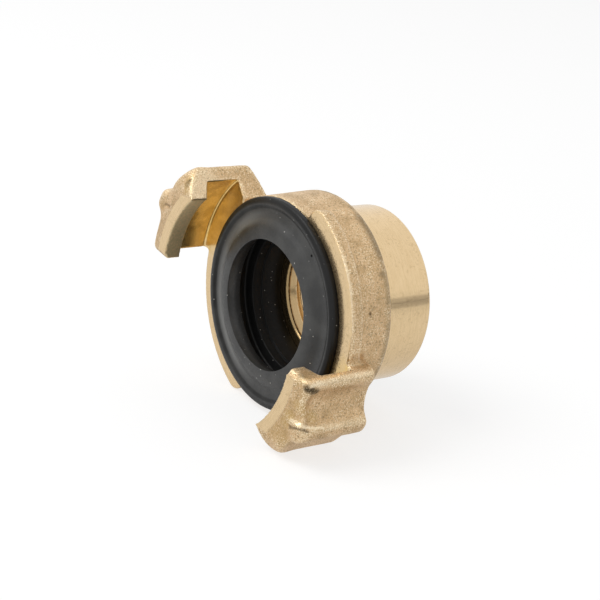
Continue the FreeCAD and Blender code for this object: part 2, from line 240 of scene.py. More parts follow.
class Recipe:
    """Builds the node tree of a material or of the surroundings."""

    def __init__(self, owner: bpy.types.ID, output: str = "OutputMaterial") -> None:
        """Starts a tree that holds only its output.

        Args:
            owner: The new material or world.
            output: The output node's type, without its prefix.
        """
        owner.use_nodes = True
        self.owner = owner
        self.tree = owner.node_tree
        self.tree.nodes.clear()
        self.output = self.node(output)

    def node(self, kind: str, inputs: dict | None = None, **settings: object) -> bpy.types.Node:
        """Adds a node.

        Args:
            kind: The node's type, without its prefix.
            inputs: Values or sockets for the node's inputs, by name or number.
            settings: Values for the node's properties.

        Returns:
            The new node.
        """
        made = self.tree.nodes.new(f"ShaderNode{kind}")
        for name, value in settings.items():
            setattr(made, name, value)
        for key, value in (inputs or {}).items():
            if isinstance(value, Socket):
                self.tree.links.new(value, made.inputs[key])
            else:
                made.inputs[key].default_value = value
        return made

    def math(self, operation: str, *values: object, clamp: bool = False) -> Socket:
        """Calculates with sockets or numbers, keeps it from 0 to 1 if asked and returns it."""
        made = self.node("Math", dict(enumerate(values)), operation=operation, use_clamp=clamp)
        return made.outputs[0]

    def times(self, first: object, second: object) -> Socket:
        """Multiplies two sockets or numbers and returns the result."""
        return self.math("MULTIPLY", first, second)

    def apart(self, value: object, level: object) -> Socket:
        """Measures how far a value is from a level, on either side, and returns the result."""
        return self.math("ABSOLUTE", self.math("SUBTRACT", value, level))

    def between(self, value: object, low: float, high: float,
                start: float = 0.0, end: float = 1.0) -> Socket:
        """Eases a value from start to end while it goes from low to high.

        Args:
            value: The socket to read.
            low: The value that gives start.
            high: The value that gives end.
            start: The result at low.
            end: The result at high.

        Returns:
            The eased value.
        """
        made = self.node("MapRange", {0: value, 1: low, 2: high, 3: start, 4: end},
                         interpolation_type="SMOOTHSTEP")
        return made.outputs[0]

    def blend(self, share: object, first: object, second: object) -> Socket:
        """Mixes two colours by a share from 0 to 1 and returns the result."""
        made = self.node("Mix", {0: share, 6: first, 7: second}, data_type="RGBA")
        return made.outputs[2]

    def weigh(self, share: object, first: object, second: object) -> Socket:
        """Mixes two numbers as blend mixes colours and returns the result."""
        return self.node("Mix", {0: share, 2: first, 3: second}).outputs[0]

    def noise(self, vector: object, scale: float, detail: float = 2.0,
              roughness: float = 0.5) -> Socket:
        """Adds cloudy noise and returns it, mostly from 0.3 to 0.7."""
        made = self.node("TexNoise", {"Vector": vector, "Scale": scale, "Detail": detail,
                                      "Roughness": roughness})
        return made.outputs[0]

    def attribute(self, name: str) -> Socket:
        """Reads the number that was painted on the mesh under a name."""
        return self.node("Attribute", attribute_name=name).outputs["Fac"]

    def bump(self, height: object, strength: float, distance: float) -> Socket:
        """Returns the normal for a height that goes from 0 to 1 over a distance in metres."""
        made = self.node("Bump", {"Height": height, "Strength": strength, "Distance": distance})
        return made.outputs[0]

    def finish(self, last: bpy.types.Node) -> bpy.types.ID:
        """Joins the last shader to the output and returns the material or world."""
        self.tree.links.new(last.outputs[0], self.output.inputs[0])
        return self.owner

    def surface(self, **inputs: object) -> bpy.types.ID:
        """Ends a material with the Principled shader.

        Args:
            inputs: Its inputs, with underscores for the spaces in their names.

        Returns:
            The finished material.
        """
        named = {key.replace("_", " "): value for key, value in inputs.items()}
        return self.finish(self.node("BsdfPrincipled", named))


class AxisRecipe(Recipe):
    """The recipe of a material that also measures the coupling about its axis."""

    name: str = "plain"

    def __init__(self) -> None:
        """Starts a material with nodes for place, radius and depth, and for turn in radians."""
        super().__init__(bpy.data.materials.new(self.name))
        source = self.node("TexCoord").outputs["Object"]
        scaled = self.node("Mapping", {"Vector": source, "Scale": (1 / MM, 1 / MM, 1 / MM)})
        self.place = scaled.outputs[0]
        self.across, self.depth, upward = self.node("SeparateXYZ", {0: self.place}).outputs
        self.turn = self.math("ARCTAN2", upward, self.across)
        squares = self.times(self.across, self.across), self.times(upward, upward)
        self.radius = self.math("SQRT", self.math("ADD", *squares))


class CastBrass(AxisRecipe):
    """Sand-cast brass with turned faces, edges lightened by wear and painted highlight, painted
    glints, and a little dirt with painted shade in its corners and creases.
    """

    name: str = "cast_brass"
    skin_light: tuple = (0.71, 0.495, 0.28, 1)
    skin_dark: tuple = (0.51, 0.34, 0.165, 1)
    tarnish: tuple = (0.33, 0.215, 0.085, 1)
    lip_shade_and_tarnish: tuple = (0.54, 0.455, 0.265, 1)
    glint_highlight: tuple = (0.95, 0.80, 0.56, 1)
    turned_light: tuple = (0.82, 0.62, 0.37, 1)
    turned_dark: tuple = (0.69, 0.50, 0.27, 1)
    reflected_gold_light: tuple = (0.84, 0.58, 0.21, 1)
    reflected_gold_dark: tuple = (0.66, 0.44, 0.145, 1)
    smudge: tuple = (0.54, 0.36, 0.12, 1)
    worn_and_highlit: tuple = (0.86, 0.69, 0.44, 1)
    grime_and_shade: tuple = (0.055, 0.038, 0.018, 1)
    aged: tuple = (0.22, 0.165, 0.085, 1)
    metallic: float = 0.92
    rear_edge: tuple = (-0.45, -0.05)
    socket_step: tuple = (-10.9, -11.5)
    socket_wall: tuple = (15.2, 15.6)
    darkened_reach: tuple = (-13.0, -12.6)
    thread_wall: tuple = (12.3, 12.6)
    thread_end: tuple = (-9.9, -9.6)
    collar: tuple = (-13.0, -12.2)
    seat_ring: tuple = (18.4, 20.8)
    seat_side: tuple = (3.0, 8.0)
    streaks_across: float = 5.0
    streaks_around: float = 7.0

    def __init__(self) -> None:
        """Starts the material with the noises that several of its steps share."""
        super().__init__()
        self.broad = self.noise(self.place, 0.30, 3.0)
        self.grain = self.noise(self.place, 3.2, 2.0, 0.6)
        self.speck = self.noise(self.place, 4.6, 1.0, 0.5)
        lines = self.node("CombineXYZ", {0: self.times(self.radius, self.streaks_across),
                                         1: self.times(self.depth, self.streaks_across),
                                         2: self.times(self.turn, self.streaks_around)})
        self.streak = self.noise(lines.outputs[0], 1.0, 2.0, 0.6)
        # Where handling has made the metal bright: lower roughness, and a painted highlight in
        # the colour.
        rubbed_and_highlit = self.between(self.speck, 0.44, 0.56, 0.6, 1.0)
        self.polish_highlight_share = self.times(self.attribute("polish_highlight"), rubbed_and_highlit)

    def turned_colour(self) -> Socket:
        """Colours the turned faces, with a painted golden reflection in the channels and painted
        shade with olive tarnish on the inside of the lips.

        Returns:
            The colour.
        """
        broad = self.noise(self.place, 0.45, 3.0, 0.6)
        fine = self.noise(self.place, 2.2, 3.0, 0.7)
        shade = self.between(self.streak, 0.35, 0.65, 0.45, 0.85)
        bare = self.blend(shade, self.turned_dark, self.turned_light)
        spots = self.times(self.between(fine, 0.34, 0.50, 1.0, 0.0),
                           self.between(broad, 0.42, 0.60, 0.0, 0.28))
        bare = self.blend(spots, bare, self.tarnish)
        # Darker towards the rear edge and the socket's step, most inside the bore.
        ends = self.math("MAXIMUM", self.between(self.depth, *self.rear_edge),
                         self.between(self.depth, *self.socket_step))
        inside = self.between(self.radius, *self.socket_wall, 1.0, 0.35)
        reach = self.between(self.depth, *self.darkened_reach, 0.0, 0.6)
        bare = self.blend(self.times(ends, self.times(inside, reach)), bare, self.aged)
        # A painted golden reflection, as of the brass round the channels.
        gold_reflection = self.blend(self.between(broad, 0.36, 0.56), self.reflected_gold_dark, self.reflected_gold_light)
        bare = self.blend(self.attribute("channel"), bare, gold_reflection)
        behind = self.times(self.between(self.radius, *self.thread_wall, 0.6, 0.0),
                            self.between(self.depth, *self.thread_end, 1.0, 0.0))
        bare = self.blend(behind, bare, self.tarnish)
        # Inside the lips: painted shade with olive tarnish.
        lip = self.times(self.attribute("lip"), self.between(fine, 0.35, 0.60, 0.15, 0.95))
        return self.blend(lip, bare, self.lip_shade_and_tarnish)

    def skin_colour(self) -> Socket:
        """Colours the cast skin, with its tarnish, edges lightened by wear and painted
        highlight, painted glints, and lines shone by handling that are painted as highlights.

        Returns:
            The colour.
        """
        edge = self.attribute("edge")
        patches = self.noise(self.place, 0.42, 3.0, 0.6)
        shade = self.between(self.broad, 0.30, 0.70, 0.25, 0.9)
        skin = self.blend(shade, self.skin_dark, self.skin_light)
        skin = self.blend(self.between(patches, 0.52, 0.72, 0.0, 0.40), skin, self.tarnish)
        skin = self.blend(self.between(self.grain, 0.32, 0.48, 0.60, 0.0), skin, self.aged)
        smudged = self.times(self.attribute("golden"),
                             self.between(self.grain, 0.36, 0.60, 0.9, 0.5))
        skin = self.blend(smudged, skin, self.smudge)
        # Convex edges are lightened by wear and by a painted highlight.
        rubbed_and_highlit = self.times(self.between(edge, 0.01, 0.10, 0.0, 0.40),
                            self.between(self.grain, 0.36, 0.56, 0.5, 1.0))
        skin = self.blend(rubbed_and_highlit, skin, self.worn_and_highlit)
        # Painted glints: bright specks of highlight, strongest on the edges.
        bright = self.math("ADD", self.between(edge, 0.0, 0.06, 0.0, 0.5),
                           self.between(patches, 0.30, 0.60, 0.75, 0.25))
        painted_glint = self.math("MULTIPLY", self.between(self.speck, 0.52, 0.60), bright, clamp=True)
        skin = self.blend(painted_glint, skin, self.glint_highlight)
        # Highlight lines painted where handling has made the metal bright.
        skin = self.blend(self.times(self.polish_highlight_share, 0.9), skin, self.glint_highlight)
        # The skin darker from the neck's rear edge back towards the socket.
        collar = self.times(self.between(self.depth, *self.collar, 0.0, 0.45),
                            self.between(self.broad, 0.35, 0.55))
        return self.blend(collar, skin, self.aged)

    def seat_specks(self) -> Socket:
        """Speckles the flange face dark round the seal, on one side only.

        Returns:
            The share of the speckles.
        """
        grit = self.noise(self.place, 3.6, 3.0, 0.75)
        near = self.between(self.radius, *self.seat_ring, 0.13, -0.13)
        specks = self.between(self.math("ADD", grit, near), 0.50, 0.62, 0.0, 0.85)
        specks = self.times(specks, self.between(self.across, *self.seat_side))
        level = self.apart(self.depth, FLANGE_DEPTH)
        return self.times(specks, self.between(level, 0.2, 0.4, 1.0, 0.0))

    def material(self) -> bpy.types.ID:
        """Makes the material.

        Returns:
            The finished material.
        """
        cast = self.between(self.attribute("turned"), 0.3, 0.7, 1.0, 0.0)
        colour = self.blend(cast, self.turned_colour(), self.skin_colour())
        # Concave corners of the skin are darkened as painted shade.
        corners = self.times(self.between(self.attribute("corner"), 0.035, 0.13),
                             self.between(self.broad, 0.35, 0.60, 0.20, 0.7))
        # Dark marks of dirt, and painted shade along the creases.
        stains_and_crease_shade = self.times(self.attribute("stain_and_shade"),
                            self.between(self.grain, 0.36, 0.52, 0.45, 1.0))
        dirt_and_shade = self.math("MAXIMUM", self.times(corners, cast), stains_and_crease_shade)
        dirt_and_shade = self.times(dirt_and_shade, self.math("SUBTRACT", 1.0, self.polish_highlight_share))
        dirt_and_shade = self.math("MAXIMUM", dirt_and_shade, self.seat_specks())
        colour = self.blend(dirt_and_shade, colour, self.grime_and_shade)
        skin_rough = self.between(self.grain, 0.35, 0.65, 0.56, 0.40)
        skin_rough = self.weigh(self.polish_highlight_share, skin_rough, 0.28)
        bare_rough = self.weigh(self.attribute("lip"), 0.22, 0.45)
        rough = self.weigh(dirt_and_shade, self.weigh(cast, bare_rough, skin_rough), 0.75)
        height = self.math("ADD", self.grain, self.speck)
        height = self.weigh(cast, self.times(self.streak, 0.16), height)
        return self.surface(Base_Color=colour, Metallic=self.metallic, Roughness=rough,
                            Normal=self.bump(height, 0.7, 0.1 * MM))


class MouldedRubber(AxisRecipe):
    """Matte black rubber with a grey bloom, white dust and a painted highlight on the left of
    the dish, whose turn is in radians.
    """

    name: str = "moulded_rubber"
    black: tuple = (0.006, 0.006, 0.006, 1)
    bloom: tuple = (0.038, 0.038, 0.036, 1)
    dish_highlight: tuple = (0.17, 0.17, 0.163, 1)
    dust: tuple = (0.55, 0.54, 0.50, 1)
    face: tuple = (-22.9, -21.8)
    rim: tuple = (17.2, 17.9)
    rim_gloss: tuple = (17.3, 17.9)
    gloss_reach: tuple = (-22.8, -21.5)
    groove_radius: float = 16.9
    dish_radius: float = 15.2
    highlight_turn: float = 2.9
    highlight_reach: tuple = (-22.6, -22.0)
    nick_place: tuple = (10.25, -22.95, 11.96)

    def dish_highlight_share(self) -> Socket:
        """Tells where the left side of the dish gets a grey painted highlight.

        Returns:
            The share of painted highlight.
        """
        sideways = self.apart(self.math("ABSOLUTE", self.turn), self.highlight_turn)
        dish = self.apart(self.radius, self.dish_radius)
        left = self.times(self.between(sideways, 0.5, 1.3, 1.0, 0.0),
                          self.between(dish, 0.3, 1.6, 1.0, 0.0))
        return self.times(left, self.between(self.depth, *self.highlight_reach, 1.0, 0.0))

    def dusted(self) -> Socket:
        """Scatters single specks of white dust.

        Returns:
            The share of dust.
        """
        flecks = self.node("TexVoronoi", {"Vector": self.place, "Scale": 0.9, "Randomness": 1.0})
        near = self.between(flecks.outputs["Distance"], 0.07, 0.11, 1.0, 0.0)
        return self.times(near, self.between(self.noise(self.place, 1.3, 2.0), 0.50, 0.58))

    def material(self) -> bpy.types.ID:
        """Makes the material.

        Returns:
            The finished material.
        """
        broad = self.noise(self.place, 0.25, 3.0)
        fine = self.noise(self.place, 3.0, 4.0, 0.65)
        bloomed = self.times(self.between(broad, 0.35, 0.65, 0.3, 1.0),
                             self.between(self.depth, *self.face, 1.0, 0.12))
        bloomed = self.times(bloomed, self.between(self.radius, *self.rim, 1.0, 0.1))
        colour = self.blend(bloomed, self.black, self.bloom)
        # A grey painted highlight on the left of the dish.
        colour = self.blend(self.dish_highlight_share(), colour, self.dish_highlight)
        colour = self.blend(self.dusted(), colour, self.dust)
        away = self.node("VectorMath", {0: self.place, 1: self.nick_place},
                         operation="DISTANCE").outputs["Value"]
        whole = self.between(self.math("ADD", away, self.times(fine, 0.5)), 0.4, 0.6)
        colour = self.blend(whole, self.black, colour)
        rough = self.between(fine, 0.3, 0.7, 0.36, 0.54)
        groove = self.between(self.apart(self.radius, self.groove_radius), 0.15, 0.5, 0.35, 1.0)
        gloss = self.times(self.between(self.radius, *self.rim_gloss, 0.6, 0.25), whole)
        gloss = self.times(self.times(gloss, groove),
                           self.between(self.depth, *self.gloss_reach, 1.0, 0.35))
        height = self.math("ADD", fine, self.times(whole, 4.0))
        return self.surface(Base_Color=colour, Roughness=rough, Specular_IOR_Level=gloss,
                            Normal=self.bump(height, 0.25, 0.05 * MM))


@dataclass(frozen=True)
class Stroke:
    """One dark or shiny mark on the casting, a spot or a line through several places."""

    path: tuple
    size: float
    strength: float
    fade: float = 1.6

    def stops(self, places: np.ndarray) -> list:
        """Lays the path onto the surface, with three further stops between two of its own.

        Args:
            places: One row of x, y and z per point of the surface, in millimetres.

        Returns:
            The points of the surface that lie nearest to the path.
        """
        rough = []
        for turn, depth, radius in self.path:
            angle = math.radians(turn)
            rough.append(np.array([radius * math.cos(angle), depth, radius * math.sin(angle)]))
        fine = rough[:1]
        for start, end in zip(rough, rough[1:]):
            fine += [start + (end - start) * step / 4 for step in range(1, 5)]
        return [places[np.argmin(np.linalg.norm(places - stop, axis=1))] for stop in fine]

    def share(self, places: np.ndarray) -> np.ndarray:
        """Tells how strongly the mark covers each point.

        Args:
            places: One row of x, y and z per point, in millimetres.

        Returns:
            One number per point, from 0 to 1.
        """
        stops = self.stops(places)
        nearest = np.linalg.norm(places - stops[0], axis=1)
        for start, end in zip(stops, stops[1:]):
            along = end - start
            length = max(along @ along, 1e-6)
            share = np.clip((places - start) @ along / length, 0.0, 1.0)
            line = start + share[:, None] * along
            nearest = np.minimum(nearest, np.linalg.norm(places - line, axis=1))
        return self.strength * np.clip(self.fade - self.fade * nearest / self.size, 0.0, 1.0)


@dataclass(frozen=True)
class Marks:
    """The marks on the casting, as turn, depth and radius of their places.

    Dark marks are dirt, and along the creases painted shade; golden marks are smudges; and the
    shine marks are where handling has made the metal bright, painted as highlights.
    """

    # The creases are sunk into the casting and darkened with painted shade.
    lower_crease: Stroke = Stroke(((-30.7, -31.9, 24.6), (-26.9, -32.4, 26.2),
                                   (-25.9, -31.9, 27.0), (-26.6, -30.8, 27.3)), 0.34, 0.65)
    upper_crease: Stroke = Stroke(((147.0, -32.3, 23.2), (150.0, -32.0, 25.0)), 0.32, 0.55)
    neck_pit: Stroke = Stroke(((12.3, -15.8, 18.95),), 0.40, 1.0)

    # Dark marks: dirt, and painted shade along the creases.
    stain_and_shade: tuple = (
        Stroke(((-11.0, -31.9, 24.8), (-11.8, -30.9, 25.0), (-13.0, -29.9, 24.9)), 0.85, 0.9),
        lower_crease,
        Stroke(((-9.0, -31.6, 22.6),), 1.1, 0.40),
        Stroke(((129.5, -31.8, 23.3),), 1.1, 0.55),
        Stroke(((128.6, -31.4, 23.7),), 0.5, 0.90),
        upper_crease,
        Stroke(((64.5, -12.4, 19.1), (52.0, -12.1, 19.1), (40.0, -12.0, 19.1)), 1.2, 0.35),
        neck_pit,
        Stroke(((14.5, -15.3, 18.95),), 0.22, 0.8),
        Stroke(((31.0, -12.6, 19.0),), 0.8, 0.35),
    )
    golden: tuple = (
        Stroke(((-26.0, -32.3, 23.7), (-31.0, -32.2, 23.6)), 1.4, 0.7),
        Stroke(((-19.6, -32.2, 24.1), (-19.5, -31.6, 25.0), (-24.3, -29.3, 25.5)), 1.3, 0.6),
        Stroke(((-38.5, -32.4, 23.0), (-37.2, -32.0, 24.9)), 2.6, 0.40),
        Stroke(((-9.4, -31.8, 23.4),), 1.6, 0.5),
        Stroke(((128.5, -31.5, 23.9), (129.7, -32.3, 22.4)), 1.5, 0.7),
    )
    # Shine marks where handling has made the metal bright, painted as highlights.
    polish_highlight: tuple = (
        Stroke(((-9.9, -31.2, 25.0), (-9.6, -29.2, 24.95)), 0.40, 1.0),
        Stroke(((-9.7, -29.4, 24.9), (-9.4, -24.6, 24.8), (-8.7, -19.5, 24.5)), 0.8, 0.40),
        Stroke(((-27.1, -32.4, 24.3), (-25.6, -32.2, 25.5), (-24.9, -31.6, 26.6),
                (-25.9, -30.2, 26.9), (-26.1, -28.9, 27.1), (-26.2, -27.8, 27.2)), 0.34, 0.95),
        Stroke(((-26.2, -27.4, 27.2), (-26.3, -20.0, 27.3)), 0.8, 0.35),
        Stroke(((133.5, -32.0, 23.4),), 0.8, 0.4),
        Stroke(((127.3, -31.1, 21.3), (122.0, -28.0, 24.0)), 2.3, 0.50),
        Stroke(((39.4, -21.8, 21.9), (26.7, -21.8, 21.9), (14.1, -22.0, 21.7),
                (5.0, -22.0, 21.6)), 0.30, 0.8),
    )


@dataclass(frozen=True)
class Form:
    """Where the casting is filled out, drawn or smoothed, with angles from a claw's start.

    Heights run forward from the rear face, so they are depths without the sign.
    """

    claw_turn: float = 108.6
    lip_radius: float = 20.0
    channel_radius: float = 23.2
    bore_radius: float = 17.35
    socket_radius: float = 15.8
    lip_height: float = 28.0
    channel_foot_radius: float = 20.2
    channel_foot: tuple = (18.0, 59.0)
    ridge_angle: float = 41.8
    ridge_side: tuple = (2.5, 6.5)
    nose_radii: tuple = (24.6, 26.6)
    nose_heights: tuple = (27.0, 30.8)
    nose_fill: float = 1.05
    crest_radii: tuple = (25.2, 26.8)
    crest_fill: float = 0.20
    cut_turn: float = 16.4
    cut_start: float = 16.1
    cut_run: tuple = (4.8, 4.6)
    cut_facing: tuple = (0.69, 0.72)
    cut_angle: float = 48.0
    cut_rise: tuple = (-1.2, 0.0)
    cut_fill: float = 0.55
    end_angles: tuple = (-34.0, -20.6)
    end_heights: tuple = (16.0, 17.0)
    end_radii: tuple = (24.0, 25.5)
    end_fills: tuple = (0.55, -0.10)
    longer_radii: tuple = (18.9, 19.6)
    longer_by: float = 1.6
    bead_angle: float = 43.6
    bead_lean: float = 0.8
    bead_start: float = 24.1
    bead_run: float = 2.3
    bead_width: float = 0.70
    bead_radii: tuple = (22.6, 24.6)
    bead_heights: tuple = (17.5, 19.5)
    bead_front: tuple = (29.0, 31.5)
    bead_lift: float = 0.35
    parting_turn: float = 32.0
    parting_width: float = 0.3
    parting_radii: tuple = (18.5, 22.5)
    parting_lift: float = 0.05
    crease_sink: float = 0.16
    crease_back: float = 0.25
    pit_sink: float = 0.18
    claw_radii: tuple = (23.4, 24.6)
    claw_heights: tuple = (16.0, 17.5)
    corner_angles: tuple = (-36.0, -30.0)
    corner_radii: tuple = (24.4, 25.4)
    ear_radii: tuple = (18.2, 18.6)
    ear_outside: float = 22.3
    ear_angle: float = 60.0
    ear_start: tuple = (15.5, 17.0)
    ear_end: tuple = (21.0, 21.7)


@dataclass(frozen=True)
class Polar:
    """The points of the casting, seen from its axis, in millimetres and degrees."""

    places: np.ndarray
    radius: np.ndarray
    height: np.ndarray
    angle: np.ndarray
    upper: np.ndarray
    away: np.ndarray

    @classmethod
    def of(cls, piece: Piece, form: Form) -> "Polar":
        """Measures every point of a mesh.

        Args:
            piece: The object to read.
            form: The casting's measures.

        Returns:
            The measures, with angles from a claw's start and away as the way out of the axis.
        """
        places = piece.read() / MM
        x, y, z = places.T
        radius = np.hypot(x, z)
        angle = (np.degrees(np.arctan2(z, x)) - form.claw_turn) % 180.0
        away = np.stack([x / radius, 0.0 * radius, z / radius], axis=1)
        return cls(places, radius, -y, angle, z > 0, away)


@dataclass
class Casting:
    """The cast body: a softened copy of its solid, with the marks that a material reads."""

    node: str = "coupling_body"
    form: Form = Form()
    marks: Marks = Marks()
    voxel: float = 0.2 * MM
    triangles: int = 190000
    wave: float = 0.06 * MM
    wave_size: float = 2.2 * MM
    turned_rounds: int = 2
    cast_rounds: int = 24
    claw_rounds: int = 30
    corner_rounds: int = 60
    ear_rounds: int = 75

    def region_of(self, centre: Vector, normal: Vector) -> Region:
        """Tells which kind of surface a face of the solid is.

        Args:
            centre: The middle of the face, in metres.
            normal: Its outward direction.

        Returns:
            The region.
        """
        form = self.form
        radius = math.hypot(centre.x, centre.z) / MM
        depth = centre.y / MM
        outward = (normal.x * centre.x + normal.z * centre.z) / (radius * MM)
        facing_front = normal.y < -0.98
        facing_axis = outward < -0.9
        if depth > SOCKET_DEPTH + 0.02 and radius < form.socket_radius + 0.1:
            return Region.TURNED
        if radius < form.bore_radius:
            return Region.TURNED
        if facing_front and abs(depth - FLANGE_DEPTH) < 0.05:
            angle = (math.degrees(math.atan2(centre.z, centre.x)) - form.claw_turn) % 180.0
            start, end = form.channel_foot
            foot = radius > form.channel_foot_radius and start < angle < end
            return Region.CHANNEL if foot else Region.TURNED
        if facing_front and abs(depth - FRONT_DEPTH) < 0.05:
            return Region.TURNED
        if facing_axis and abs(radius - form.channel_radius) < 0.1:
            return Region.CHANNEL
        if facing_axis and abs(radius - form.lip_radius) < 0.1:
            return Region.LIP
        inside = form.lip_radius < radius < form.channel_radius
        if inside and normal.y > 0.8 and depth < -form.lip_height:
            return Region.LIP
        return Region.CAST

    def find_regions(self, piece: Piece, solid: Piece) -> np.ndarray:
        """Tells the region of every point of the fine mesh.

        Args:
            piece: The fine mesh, not yet softened.
            solid: The plain copy, whose faces tell the regions.

        Returns:
            The value of the region at each point.
        """
        mesh = solid.body.data
        regions = [self.region_of(face.center, face.normal) for face in mesh.polygons]
        tree = BVHTree.FromPolygons([v.co for v in mesh.vertices],
                                    [tuple(face.vertices) for face in mesh.polygons])
        nearest = [tree.find_nearest(v.co)[2] for v in piece.body.data.vertices]
        return np.array([regions[index].value for index in nearest])

    def sculpt(self, piece: Piece, free: np.ndarray) -> None:
        """Fills out the nose of each ridge and the cut corner, and the upper claw's far end.

        Args:
            piece: The fine mesh.
            free: How far each point may move, from 0 to 1.
        """
        form = self.form
        at = Polar.of(piece, form)
        ridge = 1.0 - ramp(np.abs(at.angle - form.ridge_angle), *form.ridge_side)
        crest = ridge * ramp(at.radius, *form.crest_radii)
        nose = ridge * ramp(at.radius, *form.nose_radii)
        nose *= ramp(at.height, *form.nose_heights)
        outward, onward = form.cut_facing
        along = at.radius * np.cos(np.radians(at.angle + form.cut_turn)) - form.cut_start
        behind = -FRONT_DEPTH - at.height
        share = along * form.cut_run[0] + behind * form.cut_run[1]
        share = np.clip(share / (form.cut_run[0] ** 2 + form.cut_run[1] ** 2), 0.0, 1.0)
        bulge = 4.0 * share * (1.0 - share) * (at.angle < form.cut_angle)
        bulge *= ramp(along * outward - behind * onward, *form.cut_rise)
        turn = np.radians(form.claw_turn - form.cut_turn) + np.pi * (at.places[:, 2] < 0)
        slant = np.stack([np.cos(turn), 0.0 * turn, np.sin(turn)], axis=1)
        end = ramp(-at.angle, *form.end_angles) * (at.angle < 90.0)
        end *= ramp(at.height, *form.end_heights)
        longer = end * at.upper * ramp(at.radius, *form.longer_radii)
        filled = np.where(at.upper, *form.end_fills) * end
        swell = form.crest_fill * crest + filled * ramp(at.radius, *form.end_radii)
        sideways = np.stack([at.places[:, 2], 0.0 * at.height, -at.places[:, 0]], axis=1)
        shift = (form.nose_fill * nose * free)[:, None] * FORWARD
        shift += (swell * free)[:, None] * at.away
        shift += (math.radians(form.longer_by) * longer)[:, None] * sideways
        shift += (form.cut_fill * bulge * free)[:, None] * (outward * slant + onward * FORWARD)
        piece.move_points((at.places + shift) * MM)

    def detail(self, piece: Piece, free: np.ndarray) -> None:
        """Raises the lower claw's bead and the parting line, and sinks the creases and a pit.

        Args:
            piece: The softened mesh.
            free: How far each point may move, from 0 to 1.
        """
        form = self.form
        at = Polar.of(piece, form)
        front = ramp(at.height, *form.bead_front)
        lean = form.bead_lean * np.clip(at.radius - form.bead_start, 0.0, form.bead_run)
        beside = (at.angle - (form.bead_angle + lean)) * at.radius / DEGREES_PER_RADIAN
        bead = np.exp(-(beside / form.bead_width) ** 2) * (at.places[:, 2] < 0)
        bead *= ramp(at.radius, *form.bead_radii) * ramp(at.height, *form.bead_heights)
        lower_crease = self.marks.lower_crease.share(at.places)
        crease = lower_crease + self.marks.upper_crease.share(at.places)
        pit = self.marks.neck_pit.share(at.places)
        turn = np.degrees(np.arctan2(at.places[:, 2], at.places[:, 0])) - form.parting_turn
        beside = np.radians(np.abs((turn + 90.0) % 180.0 - 90.0)) * at.radius
        seam = np.exp(-(beside / form.parting_width) ** 2)
        seam *= (at.radius > form.parting_radii[0]) * (at.radius < form.parting_radii[1])
        lift = form.bead_lift * bead * (1.0 - 0.5 * front) + form.parting_lift * seam
        lift -= form.crease_sink * crease + form.pit_sink * pit
        ahead = form.bead_lift * bead * front - form.crease_back * crease
        shift = (lift * free)[:, None] * at.away + (ahead * free)[:, None] * FORWARD
        piece.move_points((at.places + shift) * MM)

    def soften(self, piece: Piece, found: np.ndarray) -> None:
        """Rounds the cast edges well and the turned ones barely, and makes the skin uneven.

        Args:
            piece: The fine mesh.
            found: The value of the region at each point.
        """
        form = self.form
        free = 1.0 - piece.average((found > 0).astype(float), 2)
        self.sculpt(piece, free)
        piece.modify("SMOOTH", factor=0.5, iterations=self.turned_rounds)
        piece.smooth(free, self.cast_rounds)
        at = Polar.of(piece, form)
        claw = free * ramp(at.radius, *form.claw_radii)
        claw *= ramp(at.height, *form.claw_heights)
        piece.smooth(claw, self.claw_rounds)
        corner = claw * ramp(-at.angle, *form.corner_angles)
        corner *= ramp(at.radius, *form.corner_radii)
        piece.smooth(corner, self.corner_rounds)
        ear = free * ramp(at.radius, *form.ear_radii)
        ear *= (at.radius < form.ear_outside) * (at.angle > form.ear_angle)
        ear *= ramp(at.height, *form.ear_start) * (1.0 - ramp(at.height, *form.ear_end))
        piece.smooth(ear, self.ear_rounds)
        self.detail(piece, free)
        group = piece.body.vertex_groups.new(name="cast")
        group.add(np.flatnonzero(free > 0.9).tolist(), 1.0, "REPLACE")
        clouds = bpy.data.textures.new("skin_waves", "CLOUDS")
        clouds.noise_scale = self.wave_size
        piece.modify("DISPLACE", texture=clouds, strength=self.wave, mid_level=0.5,
                     texture_coords="LOCAL", vertex_group=group.name)
        piece.body.vertex_groups.clear()

    def bend_of(self, piece: Piece, rounds: int) -> np.ndarray:
        """Measures how sharply the surface bends at each point.

        Args:
            piece: The softened mesh.
            rounds: How widely the measure is averaged.

        Returns:
            The bend, above zero on outer edges and below zero in corners.
        """
        places = piece.read()
        sag = piece.average(places, 2) - places
        bend = -(sag * piece.read("normal")).sum(axis=1) / self.voxel
        return piece.average(bend, rounds)

    def mark(self, piece: Piece, found: np.ndarray) -> None:
        """Paints the regions, the convex edges that get wear and painted highlight, the concave
        corners that get painted shade, and the marks.

        Args:
            piece: The softened mesh.
            found: The value of the region at each point.
        """
        piece.paint("turned", piece.average((found > 0).astype(float), 1))
        for region in (Region.LIP, Region.CHANNEL):
            share = piece.average((found == region.value).astype(float), 2)
            piece.paint(region.name.lower(), share)
        # Convex measure, which the material turns into wear and painted highlight.
        piece.paint("edge", np.clip(self.bend_of(piece, 5), 0, 1))
        # Concave measure, which the material turns into painted shade.
        piece.paint("corner", np.clip(-self.bend_of(piece, 6), 0, 1))
        places = piece.read() / MM
        for name in ("stain_and_shade", "polish_highlight", "golden"):
            shares = [stroke.share(places) for stroke in getattr(self.marks, name)]
            piece.paint(name, np.max(shares, axis=0))

    def build(self) -> bpy.types.Object:
        """Makes the softened casting.

        Returns:
            The piece, which stands for the solid.
        """
        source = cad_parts[self.node]
        solid = Piece(add_object("plain_solid", source.data.copy()))
        solid.merge(0.001 * MM)
        piece = Piece(add_object("cast_body", solid.body.data.copy()))
        piece.modify("REMESH", mode="VOXEL", voxel_size=self.voxel)
        found = self.find_regions(piece, solid)
        self.soften(piece, found)
        self.mark(piece, found)
        have = sum(len(face.vertices) - 2 for face in piece.body.data.polygons)
        piece.modify("DECIMATE", ratio=self.triangles / have)
        piece.body.data.shade_smooth()
        bpy.data.objects.remove(solid.body)
        return piece.body


